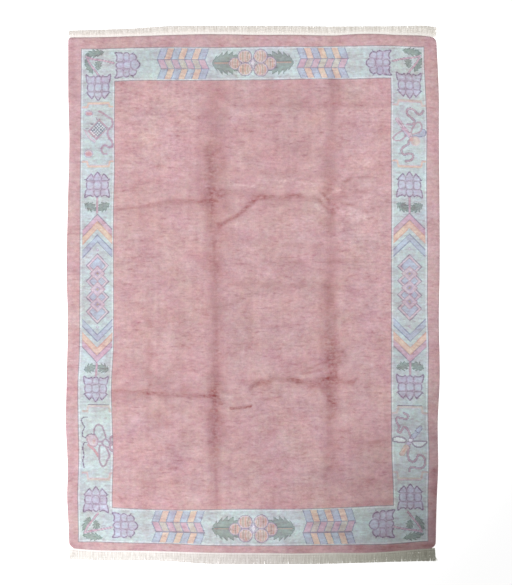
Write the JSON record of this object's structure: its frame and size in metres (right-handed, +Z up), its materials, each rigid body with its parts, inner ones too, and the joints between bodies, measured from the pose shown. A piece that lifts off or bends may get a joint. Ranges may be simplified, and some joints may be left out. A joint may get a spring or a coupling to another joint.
{
  "type": "nepalese rug",
  "caption": "Flat hand-knotted wool pile rug with a plain rose field, a pale blue patterned border, and a woven heading and warp fringe at each end.",
  "frame": {"origin": "on the floor, under the middle of the rug's outer box, fringe included", "axes": "+X across the rug to the picture's right, +Y along it to the picture's top, +Z up from the floor"},
  "size_m": [1.7224, 2.4896, 0.0151],
  "materials": {
    "wool_pile": "cut wool pile, matte with a soft sheen",
    "warp_yarn": "undyed cotton yarn, matte"
  },
  "bodies": {
    "root": {"rug_body": "wool_pile", "head_fringe": "warp_yarn", "foot_fringe": "warp_yarn"}
  },
  "joints": []
}
